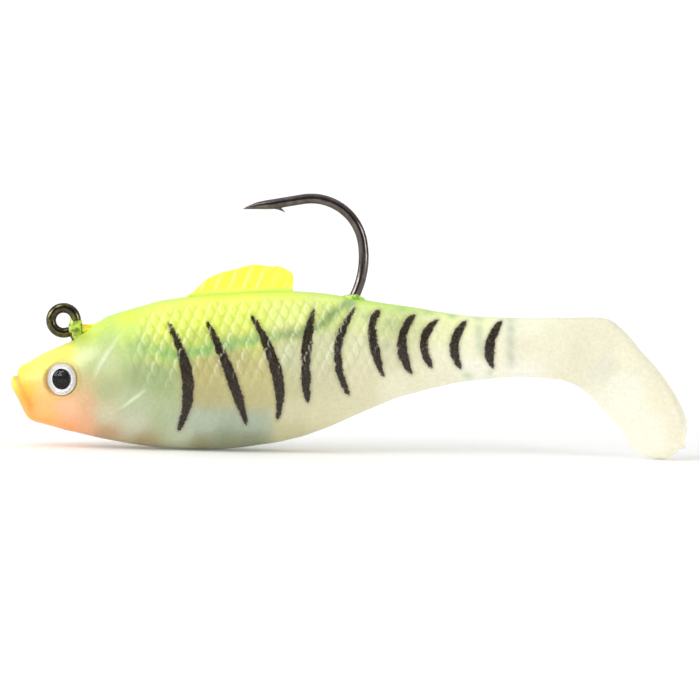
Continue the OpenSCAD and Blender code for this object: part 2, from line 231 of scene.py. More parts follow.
# Airbrushed colour of the flank, with painted shade at the bottom of the belly and in two creases of the
# tail: (x, z, sRGB). Colours between are blended by nearness.
AIRBRUSH_AND_SHADE = [
    (-6.3, -7.2, (254, 238, 90)), (-4.5, -7.2, (255, 245, 122)), (-2.0, -5.6, (254, 247, 122)),
    (-7.3, -9.0, (255, 228, 100)), (-5.6, -10.2, (253, 200, 54)), (-6.2, -12.2, (252, 168, 80)),
    (-5.0, -13.0, (255, 178, 88)), (-3.0, -10.0, (254, 205, 132)), (-2.8, -13.5, (253, 196, 128)),
    (-2.5, -15.2, (255, 187, 98)), (0.5, -4.5, (252, 248, 110)), (1.0, -13.0, (254, 198, 160)),
    (0.8, -16.0, (248, 178, 120)), (3.4, -9.0, (204, 189, 138)), (3.2, -12.0, (224, 182, 140)),
    (3.4, -15.5, (238, 180, 140)), (2.6, -2.6, (184, 204, 80)), (3.2, -5.0, (222, 236, 176)),
    (4.6, -6.4, (180, 192, 132)), (4.8, -0.9, (220, 242, 104)), (6.2, -2.6, (182, 206, 126)),
    (6.5, -6.0, (206, 218, 168)), (6.5, -10.0, (179, 188, 140)), (6.5, -14.0, (208, 206, 176)),
    (6.5, -16.8, (190, 158, 118)), (9.5, 0.9, (232, 255, 94)), (9.5, -1.5, (203, 228, 108)),
    (10.5, -4.2, (184, 206, 134)), (11.0, -8.0, (166, 181, 131)), (11.0, -12.0, (188, 200, 162)),
    (11.0, -15.3, (206, 208, 184)), (12.0, -17.6, (172, 155, 110)), (14.5, 2.4, (238, 255, 112)),
    (15.0, -0.5, (234, 248, 106)), (14.5, -3.6, (206, 220, 116)), (14.5, -8.5, (166, 183, 130)),
    (15.0, -13.5, (182, 193, 150)), (18.5, -16.2, (196, 204, 176)), (20.0, 3.2, (244, 254, 104)),
    (21.0, 0.5, (234, 250, 100)), (20.5, -2.4, (202, 216, 108)), (25.0, -5.2, (190, 187, 130)),
    (21.0, -7.5, (192, 184, 124)), (21.5, -11.0, (180, 174, 130)), (21.5, -14.5, (190, 196, 168)),
    # the belly's darkest spots, at x 20.5, 24 and 28, are painted shade
    (20.5, -17.6, (154, 149, 112)), (24.0, -16.8, (146, 151, 118)), (26.5, 3.6, (246, 255, 108)),
    (27.5, 0.6, (231, 246, 110)), (27.5, -2.0, (222, 228, 124)), (28.0, -7.5, (202, 196, 138)),
    (28.5, -11.0, (194, 188, 140)), (28.0, -14.5, (178, 184, 156)), (28.0, -16.8, (146, 150, 118)),
    (33.0, 4.2, (238, 254, 116)), (33.5, 1.8, (236, 250, 142)), (33.5, -0.8, (232, 236, 156)),
    (34.0, -4.0, (214, 214, 176)), (34.0, -9.0, (206, 204, 158)), (34.0, -13.0, (220, 215, 180)),
    (34.0, -15.8, (206, 202, 158)), (39.5, 4.0, (238, 254, 146)), (39.0, 1.5, (214, 226, 140)),
    (39.0, -3.0, (220, 220, 180)), (39.0, -8.0, (216, 212, 176)), (39.0, -13.0, (224, 219, 182)),
    (44.6, 3.4, (222, 246, 140)), (44.5, 1.5, (230, 236, 172)), (44.5, -3.0, (230, 229, 190)),
    (44.5, -8.0, (228, 222, 188)), (44.5, -12.0, (226, 222, 186)), (49.3, 2.8, (212, 232, 150)),
    (49.3, 0.5, (208, 214, 154)), (49.3, -4.0, (224, 220, 186)), (49.3, -9.0, (240, 237, 208)),
    (57.0, 1.7, (241, 250, 182)), (56.5, -1.0, (242, 243, 195)), (56.5, -4.5, (244, 241, 212)),
    (56.5, -7.5, (241, 237, 209)), (61.0, 1.2, (248, 252, 202)), (61.0, -2.5, (247, 246, 214)),
    (61.0, -6.0, (249, 247, 228)), (68.0, 1.2, (248, 248, 222)), (68.0, -3.0, (243, 238, 212)),
    # (76.5, -3.0) and (80.9, -5.2) are painted shade in creases of the tail
    (68.0, -6.2, (252, 249, 232)), (74.0, -2.5, (243, 240, 214)), (76.5, -3.0, (235, 230, 204)),
    (78.5, -2.2, (240, 237, 210)), (80.9, -5.2, (234, 231, 210)), (83.0, -7.5, (247, 245, 226)),
    (84.0, -3.0, (248, 243, 215)), (84.0, -10.0, (251, 248, 230)), (88.5, -9.0, (247, 241, 214)),
    (88.0, -15.0, (252, 249, 230)), (91.5, -14.0, (248, 242, 216)),
]
AIRBRUSH_AND_SHADE_REACH = 1.6

SHANK_BAND = [(8.0, -2.2), (13.0, -4.0), (17.5, -4.9), (24.0, -3.1), (30.0, -1.9), (35.0, -1.2), (38.0, 0.0),
              (39.8, 1.6), (41.3, 2.9), (42.6, 4.0)]
# Small grey-green smudges: x, z, size, strength
SMUDGES = [(50.2, 3.0, 0.9, 0.5), (54.2, 2.5, 0.9, 0.6), (57.7, 2.0, 0.7, 0.6), (61.6, 1.6, 0.9, 0.4),
           (66.4, 1.5, 0.8, 0.4), (60.2, -6.9, 0.8, 0.4), (48.6, 0.4, 1.0, 0.4), (44.9, 1.6, 0.9, 0.4),
           (47.9, -2.6, 0.8, 0.35), (42.6, 3.4, 1.1, 0.6), (63.4, -6.4, 0.6, 0.35), (33.6, -5.6, 0.8, 0.25)]
GILL_LINES = [
    [(8.4, -1.85), (7.0, -4.3), (5.5, -6.7), (4.6, -8.6)],
    [(12.4, -9.9), (10.6, -11.4), (8.7, -12.9)],
]
GILL_COVER = [(9.2, -2.2), (10.9, -6.0), (10.6, -9.5), (8.0, -13.6)]
MOUTH = [(-6.75, -8.35), (-6.5, -9.4), (-5.5, -10.95), (-4.3, -12.5), (-3.8, -13.2)]
LOWER_LIP = [(-5.2, -13.4), (-4.1, -14.9), (-1.5, -15.9), (1.5, -16.6)]
EYE = np.array([0.15, 4.45, -8.45])
EYE_YAW = math.radians(26)
EYE_R = 2.4
EYE_SINK = 0.45
SOCKET_GAP = 0.12  # how far the socket's floor lies under the eye

# The flank's pattern is laid out as seen in side view, by someone this far away and a little above
VIEW_X = 42.6
VIEW_DISTANCE = 520.0
VIEW_RISE = 0.06
WAVE_STEP = 4  # the waviness is worked out at every fourth point and blended between


def stripe_field(x, z):
    """How far each place is outside the nearest stripe, in millimetres; negative inside one."""
    field = np.full(x.shape, 9.0)
    for top, middle, bottom, width, taper_part in STRIPES:
        d, t = distance_to_line(x, z, bow(top, middle, bottom))
        taper = np.clip(t / taper_part, 0, 1) ** 0.6 * np.clip((1 - t) / 0.25, 0, 1) ** 0.5
        taper *= 0.93 + 0.12 * np.sin(9.0 * t + top[0])
        field = np.minimum(field, d - 0.5 * width * (0.12 + 0.88 * taper))
    return field


SCALE_WIDE, SCALE_TALL = 1.7, 2.95  # pitch of the scales along and across the body
SCALE_TILT = 0.15


def scale_relief(x, z):
    """Raised leaf-shaped scales: height in millimetres, a painted highlight on the upper front edge, inside
    or outside, and painted shade round each.
    """
    run = SCALE_TILT * (np.minimum(x, 38) - 20) - 0.05 * np.maximum(x - 38, 0)
    sx = (x + SCALE_TILT * z * (1 - smoothstep(36, 50, x))) / SCALE_WIDE
    sz = (z - run) / SCALE_TALL
    p, q = sx + sz, sx - sz
    cell_p, cell_q = np.floor(p), np.floor(q)
    a, b = p - cell_p - 0.5, q - cell_q - 0.5
    own = 0.5 + 0.5 * np.sin(12.9 * cell_p + 78.2 * cell_q)  # each scale has its own height and size
    other = 0.5 + 0.5 * np.sin(31.7 * cell_p - 17.3 * cell_q)
    dx = SCALE_WIDE * (a + b) / 2 + 0.16 * (own - 0.5)
    dz = SCALE_TALL * (a - b) / 2 + 0.3 * (other - 0.5)
    across, tall = dx / (0.5 + 0.1 * other), dz / (0.98 + 0.18 * own)
    leaf = (np.abs(across) ** 1.6 + np.abs(tall) ** 1.6) ** (1 / 1.6)
    # 1 on the upper front edge, -1 on the lower rear: where the painted highlight and the painted shade lean
    slope = (0.6 * tall - 0.8 * across) / np.maximum(leaf, 0.3)
    zone = smoothstep(9.0, 13.5, x) * (1 - smoothstep(56, 62, x))
    low = np.where(x < 32, -6.0, -6.0 + 0.1 * (x - 32))
    zone *= 0.10 + 0.90 * smoothstep(low - 4.5, low + 1.0, z)
    zone *= 1 - 0.45 * smoothstep(42, 48, x)
    raised = 1 - smoothstep(0.72, 1.08, leaf)
    height = raised * (0.10 + 0.13 * own)
    # painted highlight along each scale's upper front edge, and painted shade round it, darkest on the lower
    # rear
    glint = np.exp(-(((leaf - 0.86) / 0.2) ** 2)) * (0.08 + 0.92 * smoothstep(-0.1, 0.75, slope))
    shade = np.exp(-(((leaf - 1.12) / 0.28) ** 2)) * (0.45 + 0.55 * smoothstep(0.3, -0.6, slope))
    return zone * height, zone * glint * (0.3 + 0.7 * own), zone * (raised - 0.5), zone * shade


def airbrush_and_shade(x, z):
    """Blended flank colour in linear light at each place, painted shade included."""
    total = np.zeros(x.shape + (3,))
    weight = np.zeros(x.shape)
    for ax, az, rgb in AIRBRUSH_AND_SHADE:
        w = 1 / ((x - ax) ** 2 + (z - az) ** 2 + AIRBRUSH_AND_SHADE_REACH**2) ** 2.2
        total += w[..., None] * to_linear(rgb)
        weight += w
    return total / weight[..., None]


def lay_over(colour, rgb, amount):
    return colour + (to_linear(rgb) - colour) * amount[..., None]


def bell(v, middle, width):
    """1 at the middle, falling away smoothly on both sides."""
    return np.exp(-(((v - middle) / width) ** 2))


def paint(x, y, z, back, belly):
    """The skin's colour in linear light, painted shade round the eye's socket included. back and belly are
    the heights of the ring's top and bottom.
    """
    c = airbrush_and_shade(x, z)
    wobble = 0.35 * np.sin(1.7 * x + 0.6 * z) + 0.2 * np.sin(3.9 * x)
    # the shank and its lead end, seen through the flank as a soft green band
    d, t = distance_to_line(x, z + 0.25 * wobble, SHANK_BAND)
    wide = 0.95 + 0.2 * np.sin(2.1 * x) - 0.2 * smoothstep(34, 38, x)
    band = bell(d, 0, wide) * smoothstep(0.0, 0.25, t)
    c = lay_over(c, (128, 188, 118), 0.64 * band * (1 - smoothstep(29, 34, x)))
    c = lay_over(c, (118, 152, 98), 0.72 * band * smoothstep(29, 34, x))
    # the foil below the shank, with a soft lower edge
    foil = smoothstep(17.6, 18.9, x) * (1 - smoothstep(31.0, 32.6, x))
    foil *= (1 - smoothstep(-4.3, -3.8, z - 0.2 * (x - 25))) * smoothstep(-12.8, -11.8, z + 0.25 * wobble)
    c = lay_over(c, (205, 190, 128), 0.30 * foil)
    below = smoothstep(13.0, 20.0, x) * (1 - smoothstep(30.8, 31.9, x + 0.3 * wobble))
    below *= bell(z, -14.4, 1.9)
    c = lay_over(c, (178, 196, 184), 0.45 * below)
    # green smear at the end of the stripes, and the shaded pocket ahead of the boot
    smear = bell(x + 0.03 * z, 66.4, 0.7) * smoothstep(-6.4, -4.5, z) * (1 - smoothstep(0.4, 1.6, z))
    c = lay_over(c, (186, 196, 174), 0.6 * smear * (0.85 + 0.15 * np.sin(3.1 * z + 2.0 * x)))
    ahead = bell(x + 0.1 * z, 61.7, 0.7) * smoothstep(-5.0, -3.0, z) * (1 - smoothstep(0.2, 1.4, z))
    c = lay_over(c, (186, 200, 168), 0.5 * ahead)
    for sx, sz, size, amount in SMUDGES:
        c = lay_over(c, (158, 192, 140), amount * np.exp(-(((x - sx) ** 2 + 2 * (z - sz) ** 2) / size**2)))
    # crest of the back: brighter green film along the top edge of the body
    crest = bell(z, back, 0.55) * smoothstep(2.0, 5.0, x) * (1 - smoothstep(50, 62, x))
    c = lay_over(c, (200, 250, 78), 0.6 * crest)
    # darker brown line along the bottom of the belly
    keel = bell(y, 0, 0.55) * smoothstep(2.0, 0.6, z - belly) * smoothstep(-4.0, 2.0, x)
    c = lay_over(c, (150, 120, 84), 0.55 * keel * (1 - smoothstep(40, 55, x)))
    # orange mouth line and lower lip
    d, t = distance_to_line(x, z, MOUTH)
    c = lay_over(c, (255, 168, 52), 0.75 * bell(d, 0, 0.42) * (1 - smoothstep(0.7, 1.0, t)))
    d, _ = distance_to_line(x, z, LOWER_LIP)
    c = lay_over(c, (255, 172, 74), 0.6 * bell(d, 0, 0.7))
    # painted shade: a tan ring round the eye's socket, stronger towards the rear
    d = np.hypot((x + 0.2) / 0.9, z + 8.7)
    c = lay_over(c, (212, 176, 92), (0.3 + 0.2 * smoothstep(-2, 2, x)) * bell(d, 2.75, 0.4))
    # pale gill-cover lines
    for line in GILL_LINES:
        d, t = distance_to_line(x, z, line)
        shown = np.sin(np.pi * np.clip(t, 0.02, 0.98)) ** 0.6
        c = lay_over(c, (240, 250, 215), 0.8 * bell(d, 0, 0.2) * shown)
    return c


def eye_frame(side):
    """Centre and outward direction of the eye on a side: -1 is the left flank."""
    centre = EYE * np.array([1, side, 1])
    outward = np.array([-math.sin(EYE_YAW), side * math.cos(EYE_YAW), 0.0])
    return centre, outward


def outward_normals(grid):
    along = np.gradient(grid, axis=0)
    around = (np.roll(grid, -1, axis=1) - np.roll(grid, 1, axis=1)) / 2
    normal = np.cross(around, along)
    normal /= np.maximum(np.linalg.norm(normal, axis=2, keepdims=True), 1e-9)
    middle = grid.mean(axis=1, keepdims=True)
    return normal * np.sign(((grid - middle) * normal).sum(axis=2, keepdims=True) + 1e-12)


def moulded_lines(x, y, z, back, flank):
    """Height of the mouth, the gill lines, the gill cover's proud rear edge and the moulding flash."""
    d, t = distance_to_line(x, z, MOUTH)
    height = (0.10 * bell(d, 0.7, 0.4) - 0.22 * bell(d, 0, 0.28)) * (1 - smoothstep(0.85, 1.0, t))
    for line in GILL_LINES:
        d, t = distance_to_line(x, z, line)
        height += 0.15 * bell(d, 0, 0.16) * np.sin(np.pi * np.clip(t, 0.02, 0.98)) ** 0.6
    d, _ = distance_to_line(x, z, GILL_COVER)
    height += 0.10 * bell(d, 0, 0.55) * flank
    parting = bell(y, 0, 0.13) * smoothstep(-4.0, 3.0, x)
    return height + 0.03 * parting - 0.06 * bell(z, back, 1.5)


def soft_waves(grid):
    """Soft waviness of the moulded plastic, about -1 to 1."""
    few = grid[::WAVE_STEP, ::WAVE_STEP]
    wave = lumps(few.reshape(-1, 3), 2.6, 1).reshape(few.shape[:2])
    ks = np.linspace(0, wave.shape[0] - 1, grid.shape[0])
    js = np.arange(grid.shape[1]) / WAVE_STEP
    k0 = np.floor(ks).astype(int)
    k1 = np.minimum(k0 + 1, wave.shape[0] - 1)
    j0 = np.floor(js).astype(int) % wave.shape[1]
    j1 = (j0 + 1) % wave.shape[1]
    part_k, part_j = (ks - k0)[:, None], (js - np.floor(js))[None, :]
    near = wave[k0][:, j0] * (1 - part_k) + wave[k1][:, j0] * part_k
    far = wave[k0][:, j1] * (1 - part_k) + wave[k1][:, j1] * part_k
    return near * (1 - part_j) + far * part_j


def eye_sockets(moved, y):
    """The skin with a shallow socket and a low lip for each eye."""
    for side in (-1, 1):
        centre, outward = eye_frame(side)
        rel = moved - centre
        high = rel @ outward
        radial = np.linalg.norm(rel - high[..., None] * outward, axis=2)
        near = (np.sign(y) == side) & (np.abs(high) < 3)
        into = 1 - smoothstep(EYE_R - 0.02, EYE_R + 0.3, radial)
        lip = 0.16 * bell(radial, EYE_R + 0.35, 0.3)
        shift = np.where(near, into * (-EYE_SINK - SOCKET_GAP - high) + lip, 0)
        moved = moved + shift[..., None] * outward
    return moved


def boot_nibs(x, y, z):
    """Nibs of flash round the tip of the boot."""
    tip = smoothstep(90.5, 92.0, x) * (1 - smoothstep(-13.0, -11.5, z)) * bell(y, 0, 0.5)
    nib = tip * (0.14 + 0.16 * np.sin(9.0 * z) * np.sin(3.7 * z + 1.0))
    return nib + 0.75 * bell(x, 92.2, 0.5) * bell(z, -16.7, 0.33) * bell(y, 0, 0.35)


def skin_grid():
    """The whole body's rings with their relief, the patterns, painted highlight and painted shade that ride
    on them, and the seams' rings.
    """
    u, seams = even_stations()
    ribs = ribs_at(u)
    grid = rings_of(ribs)
    x, y, z = grid[..., 0], grid[..., 1], grid[..., 2]
    back, belly = ribs[:, None, 1], ribs[:, None, 3]
    flank = smoothstep(0.0, 0.35, np.abs(y) / np.maximum(ribs[:, None, 4], 0.5))
    seen_x = x + (x - VIEW_X) * np.abs(y) / VIEW_DISTANCE
    seen_z = z - VIEW_RISE * np.abs(y)

    relief, painted_glint, leaf, shade = scale_relief(seen_x, seen_z)
    below_crest = smoothstep(0.7, 1.7, back - z) * flank
    relief, painted_glint, shade = relief * below_crest, painted_glint * below_crest, shade * below_crest
    relief += moulded_lines(x, y, z, back, flank) + 0.05 * soft_waves(grid)
    moved = eye_sockets(grid + outward_normals(grid) * relief[..., None], y)
    moved = moved + boot_nibs(x, y, z)[..., None] * np.array([0.9, 0, -0.44])

    colour = paint(seen_x, y, seen_z, np.broadcast_to(back, x.shape), np.broadcast_to(belly, x.shape))
    # painted shade round each scale, darkest on its lower rear side
    colour *= 1 - shade[..., None] * np.array([0.13, 0.09, 0.17])
    outside = stripe_field(seen_x, seen_z)
    mist = bell(np.maximum(outside - 0.1, 0), 0, 0.34) * flank
    colour = lay_over(colour, (128, 104, 78), 0.3 * mist)
    stripe = outside - 0.12 * leaf + 4 * (1 - flank)
    return moved, colour, stripe, painted_glint, seams


def build_mesh(name, verts, faces, smooth=True):
    mesh = bpy.data.meshes.new(name)
    mesh.from_pydata([tuple(v) for v in np.asarray(verts) * MM], [], faces)
    mesh.validate()
    obj = bpy.data.objects.new(name, mesh)
    bpy.context.scene.collection.objects.link(obj)
    if smooth:
        mesh.polygons.foreach_set("use_smooth", [True] * len(mesh.polygons))
    fix = bmesh.new()
    fix.from_mesh(mesh)
    bmesh.ops.recalc_face_normals(fix, faces=fix.faces)
    fix.to_mesh(mesh)
    fix.free()
    return obj


def point_attribute(obj, name, values, kind="FLOAT"):
    attribute = obj.data.attributes.new(name, kind, "POINT")
    field = {"FLOAT": "value", "FLOAT_VECTOR": "vector", "FLOAT_COLOR": "color"}[kind]
    attribute.data.foreach_set(field, np.asarray(values, np.float32).ravel())


def tube_faces(rings, points):
    """Quads between rings of points, closed by a fan at each end, whose centres are the last two vertices."""
    k = np.arange(points)
    nxt = (k + 1) % points
    quads = []
    for s in range(rings - 1):
        a, b = s * points, (s + 1) * points
        quads += np.stack([a + k, a + nxt, b + nxt, b + k], 1).tolist()
    first, last = rings * points, rings * points + 1
    end = (rings - 1) * points
    quads += [[int(first), int(j), int(i)] for i, j in zip(k, nxt)]
    quads += [[int(last), int(end + i), int(end + j)] for i, j in zip(k, nxt)]
    return quads


def skin_piece(name, parts, first, last, tongue_before, tongue_after):
    """One length of the skin from ring first to ring last, with a closed tongue inside each neighbour."""
    moved, colour, stripe, painted_glint, _ = parts
    rings, keys = [], []

    def tongue(k):
        centre = moved[k].mean(axis=0)
        toward = centre - moved[k]
        size = np.linalg.norm(toward, axis=1, keepdims=True)
        return moved[k] + toward / size * TONGUE_SHRINK

    if tongue_before:
        for k in range(first - TONGUE_RINGS, first + 1):
            rings.append(tongue(k))
            keys.append(k)
    for k in range(first, last + 1):
        rings.append(moved[k])
        keys.append(k)
    if tongue_after:
        for k in range(last, last + TONGUE_RINGS + 1):
            rings.append(tongue(k))
            keys.append(k)
    verts = np.concatenate(rings)
    ends = np.stack([rings[0].mean(axis=0), rings[-1].mean(axis=0)])
    obj = build_mesh(name, np.concatenate([verts, ends]), tube_faces(len(rings), RING_POINTS))
    keys = np.array(keys)

    def spread(values):
        flat = values[keys].reshape(len(verts), -1)
        return np.concatenate([flat, flat[[0]], flat[[-1]]])

    rgb = spread(colour)
    point_attribute(obj, "paint", np.concatenate([rgb, np.ones((len(rgb), 1))], 1), "FLOAT_COLOR")
    point_attribute(obj, "stripe", spread(stripe[..., None]))
    # painted highlight on the scales' upper front edges
    point_attribute(obj, "painted_glint", spread(painted_glint[..., None]))
    whole = np.concatenate([verts, ends])
    point_attribute(obj, "rest", whole, "FLOAT_VECTOR")
    seam = np.min([np.abs(whole[:, 0] - s) for s in SEAMS], axis=0)
    point_attribute(obj, "depth", smoothstep(0.3, 2.2, seam))
    sharpen_ends(obj, rings, tongue_before, tongue_after)
    return obj


def sharpen_ends(obj, rings, before, after):
    """Marks the ring where the skin steps in to a tongue, so that the step doesn't bend the shading."""
    step_ring = TONGUE_RINGS + 1
    marked = [step_ring] * before + [len(rings) - 1 - step_ring] * after
    sharp = np.zeros(len(obj.data.edges), bool)
    ends = np.zeros(len(obj.data.edges) * 2, int)
    obj.data.edges.foreach_get("vertices", ends)
    ring = ends.reshape(-1, 2) // RING_POINTS
    for m in marked:
        sharp |= (ring[:, 0] == m) & (ring[:, 1] == m)
    stored = obj.data.attributes
    attribute = stored.get("sharp_edge") or stored.new("sharp_edge", "BOOLEAN", "EDGE")
    attribute.data.foreach_set("value", sharp)


# ------------------------------------------------------------------ materials

class Nodes:
    """A small helper for building a node tree."""

    def __init__(self, name):
        self.material = bpy.data.materials.new(name)
        self.material.use_nodes = True
        self.tree = self.material.node_tree
        self.tree.nodes.clear()
        self.out = self.tree.nodes.new("ShaderNodeOutputMaterial")
        self.bsdf = self.tree.nodes.new("ShaderNodeBsdfPrincipled")
        self.link(self.bsdf, "BSDF", self.out, "Surface")

    def add(self, kind, **settings):
        node = self.tree.nodes.new("ShaderNode" + kind)
        for key, value in settings.items():
            setattr(node, key, value)
        return node

    def link(self, a, a_socket, b, b_socket):
        self.tree.links.new(a.outputs[a_socket], b.inputs[b_socket])

    def attribute(self, name):
        return self.add("Attribute", attribute_name=name)

    def noise(self, vector, scale, detail=2.0, roughness=0.5):
        node = self.add("TexNoise")
        node.inputs["Scale"].default_value = scale
        node.inputs["Detail"].default_value = detail
        node.inputs["Roughness"].default_value = roughness
        self.link(vector, "Vector" if "Vector" in vector.outputs else 0, node, "Vector")
        return node

    def math(self, operation, a, b=None, clamp=False):
        """a and b are numbers or (node, socket) pairs."""
        node = self.add("Math", operation=operation, use_clamp=clamp)
        for i, value in enumerate((a, b)):
            if value is None:
                continue
            if isinstance(value, tuple):
                self.link(*value, node, i)
            else:
                node.inputs[i].default_value = value
        return node

    def ramp(self, source, low, high, low_out=0.0, high_out=1.0):
        node = self.add("MapRange", interpolation_type="SMOOTHSTEP")
        self.link(*source, node, "Value")
        for key, value in (("From Min", low), ("From Max", high), ("To Min", low_out), ("To Max", high_out)):
            node.inputs[key].default_value = value
        return node

    def mix(self, factor, a, b, blend="MIX"):
        """Mixes colours; factor, a and b are constants or (node, socket) pairs."""
        node = self.add("Mix", data_type="RGBA", blend_type=blend)
        for index, value in ((0, factor), (6, a), (7, b)):
            if isinstance(value, tuple) and isinstance(value[0], bpy.types.Node):
                self.tree.links.new(value[0].outputs[value[1]], node.inputs[index])
            else:
                node.inputs[index].default_value = value if index == 0 else (*value, 1)
        return node

    def bump(self, height, strength, distance, normal=None):
        node = self.add("Bump")
        node.inputs["Strength"].default_value = strength
        node.inputs["Distance"].default_value = distance
        self.link(*height, node, "Height")
        if normal:
            self.link(*normal, node, "Normal")
        return node

    def scatter(self, radius, size):
        """How far light spreads under the surface: per colour, times a size in millimetres."""
        self.bsdf.inputs["Subsurface Radius"].default_value = radius
        self.bsdf.inputs["Subsurface Scale"].default_value = size * MM

    def set(self, **values):
        for key, value in values.items():
            self.bsdf.inputs[key.replace("_", " ")].default_value = value


MIX_OUT = 2  # the Mix node's colour output


def soft_plastic():
    """Translucent pearl plastisol with airbrushed colour and painted shade, painted highlights on the scale
    edges, printed stripes and fine flake.
    """
    n = Nodes("soft_plastic_skin")
    rest = n.attribute("rest")
    tint = n.attribute("paint")
    mottle = n.noise(rest, 1.8, 4.0, 0.6)
    flake = n.noise(rest, 7.0, 2.0, 0.7)
    painted_glint = n.attribute("painted_glint")
    # pearl mottling: a little lighter and darker than the airbrushed colour
    shade = n.ramp((mottle, "Fac"), 0.3, 0.7, 0.955, 1.035)
    fleck = n.ramp((flake, "Fac"), 0.35, 0.68, 0.965, 1.03)
    level = n.math("MULTIPLY", (shade, "Result"), (fleck, "Result"))
    level_rgb = n.add("CombineColor")
    for channel in range(3):
        n.link(level, 0, level_rgb, channel)
    base = n.mix(1.0, (tint, "Color"), (level_rgb, "Color"), "MULTIPLY")
    # painted highlight on the scales' upper front edges
    edge = n.math("MULTIPLY", (painted_glint, "Fac"), 0.42)
    base = n.mix((edge, 0), (base, MIX_OUT), (1.0, 1.0, 0.86))
    # printed stripes: a frayed, speckled edge, paler over the scales' upper front edges as rubbed-thin ink
    # and as painted highlight
    fray = n.noise(rest, 1.5, 4.0, 0.7)
    fine = n.noise(rest, 6.5, 3.0, 0.7)
    edge_of_ink = n.math("MULTIPLY_ADD", (fray, "Fac"), 0.7)
    n.link(n.attribute("stripe"), "Fac", edge_of_ink, 2)
    ragged = n.math("MULTIPLY_ADD", (fine, "Fac"), 0.9)
    n.link(edge_of_ink, 0, ragged, 2)
    inked = n.ramp((ragged, 0), 0.74, 0.96, 1.0, 0.0)
    ink_worn_and_glint = n.ramp((painted_glint, "Fac"), 0.2, 0.75, 1.0, 0.6)
    specks = n.ramp((fine, "Fac"), 0.50, 0.66, 1.0, 0.84)
    ink = n.math("MULTIPLY", (inked, "Result"), (ink_worn_and_glint, "Result"))
    ink = n.math("MULTIPLY", (ink, 0), (specks, "Result"))
    base = n.mix((ink, 0), (base, MIX_OUT), (0.014, 0.006, 0.003))
    n.link(base, MIX_OUT, n.bsdf, "Base Color")
    # gloss: wetter where clear, duller on ink
    rough = n.ramp((mottle, "Fac"), 0.3, 0.7, 0.30, 0.42)
    n.link(rough, "Result", n.bsdf, "Roughness")
    clear = n.ramp((ink, 0), 0.0, 0.6, 0.35, 0.0)
    depth = n.math("MULTIPLY", (n.attribute("depth"), "Fac"), (clear, "Result"))
    n.link(depth, 0, n.bsdf, "Subsurface Weight")
    n.scatter((1.0, 0.85, 0.5), 1.1)
    n.set(IOR=1.38, Coat_Weight=0.1, Coat_Roughness=0.15)
    grain = n.noise(rest, 5.0, 3.0, 0.6)
    first = n.bump((grain, "Fac"), 0.3, 0.045 * MM)
    second = n.bump((mottle, "Fac"), 0.4, 0.12 * MM, (first, "Normal"))
    n.link(second, "Normal", n.bsdf, "Normal")
    return n.material


def fin_plastic():
    n = Nodes("fin_plastic")
    rest = n.attribute("rest")
    mottle = n.noise(rest, 1.6, 3.0, 0.6)
    ray = n.attribute("ray")
    root = n.attribute("root")
    base = n.mix((n.ramp((mottle, "Fac"), 0.3, 0.7), "Result"), (1.0, 0.96, 0.05), (0.98, 1.0, 0.12))
    base = n.mix((n.math("MULTIPLY", (ray, "Fac"), 0.7), 0), (base, MIX_OUT), (1.0, 1.0, 0.40))
    base = n.mix((n.math("MULTIPLY", (root, "Fac"), 0.75), 0), (base, MIX_OUT), (0.72, 0.98, 0.16))
    n.link(base, MIX_OUT, n.bsdf, "Base Color")
    n.scatter((1.0, 0.9, 0.2), 0.8)
    n.set(Subsurface_Weight=0.4, IOR=1.5, Coat_Weight=0.2, Coat_Roughness=0.15, Roughness=0.35)
    grain = n.noise(rest, 5.0, 3.0, 0.6)
    n.link(n.bump((grain, "Fac"), 0.3, 0.06 * MM), "Normal", n.bsdf, "Normal")
    return n.material


def black_nickel():
    """Dark plated hook wire with faint drawing marks along it and a bronze cast on the line-tie eye."""
    n = Nodes("black_nickel_wire")
    rest = n.attribute("rest")
    streak = n.add("TexNoise")
    stretch = n.add("Mapping")
    stretch.inputs["Scale"].default_value = (0.6, 14.0, 0.6)
    n.link(rest, "Vector", stretch, "Vector")
    n.link(stretch, "Vector", streak, "Vector")
    streak.inputs["Scale"].default_value = 1.4
    blot = n.noise(rest, 0.9, 3.0, 0.6)
    bronze = n.attribute("bronze")
    dark = n.mix((n.ramp((blot, "Fac"), 0.35, 0.7), "Result"), (0.105, 0.088, 0.082), (0.165, 0.145, 0.135))
    warm = n.mix((n.ramp((blot, "Fac"), 0.4, 0.65), "Result"), (0.065, 0.05, 0.04), (0.14, 0.14, 0.05))
    base = n.mix((bronze, "Fac"), (dark, MIX_OUT), (warm, MIX_OUT))
    n.link(base, MIX_OUT, n.bsdf, "Base Color")
    n.link(n.ramp((streak, "Fac"), 0.3, 0.75, 0.10, 0.22), "Result", n.bsdf, "Roughness")
    n.link(n.bump((streak, "Fac"), 0.12, 0.03 * MM), "Normal", n.bsdf, "Normal")
    n.set(Metallic=1.0)
    return n.material


def film_plastic(name, low, high, fleck=None):
    """Green-yellow plastisol that has crept over the wire; fleck is the colour of a stray spot."""
    n = Nodes(name)
    rest = n.attribute("rest")
    blot = n.noise(rest, 1.0, 3.0, 0.65)
    base = n.mix((n.ramp((blot, "Fac"), 0.38, 0.62), "Result"), low, high)
    if fleck:
        base = n.mix((n.attribute("fleck"), "Fac"), (base, MIX_OUT), fleck)
    n.link(base, MIX_OUT, n.bsdf, "Base Color")
    n.scatter((0.8, 1.0, 0.3), 0.6)
    n.set(Subsurface_Weight=0.5, IOR=1.5, Roughness=0.22, Coat_Weight=0.3, Coat_Roughness=0.08)
    n.link(n.bump((n.noise(rest, 3.0, 3.0, 0.6), "Fac"), 0.5, 0.12 * MM), "Normal", n.bsdf, "Normal")
    return n.material


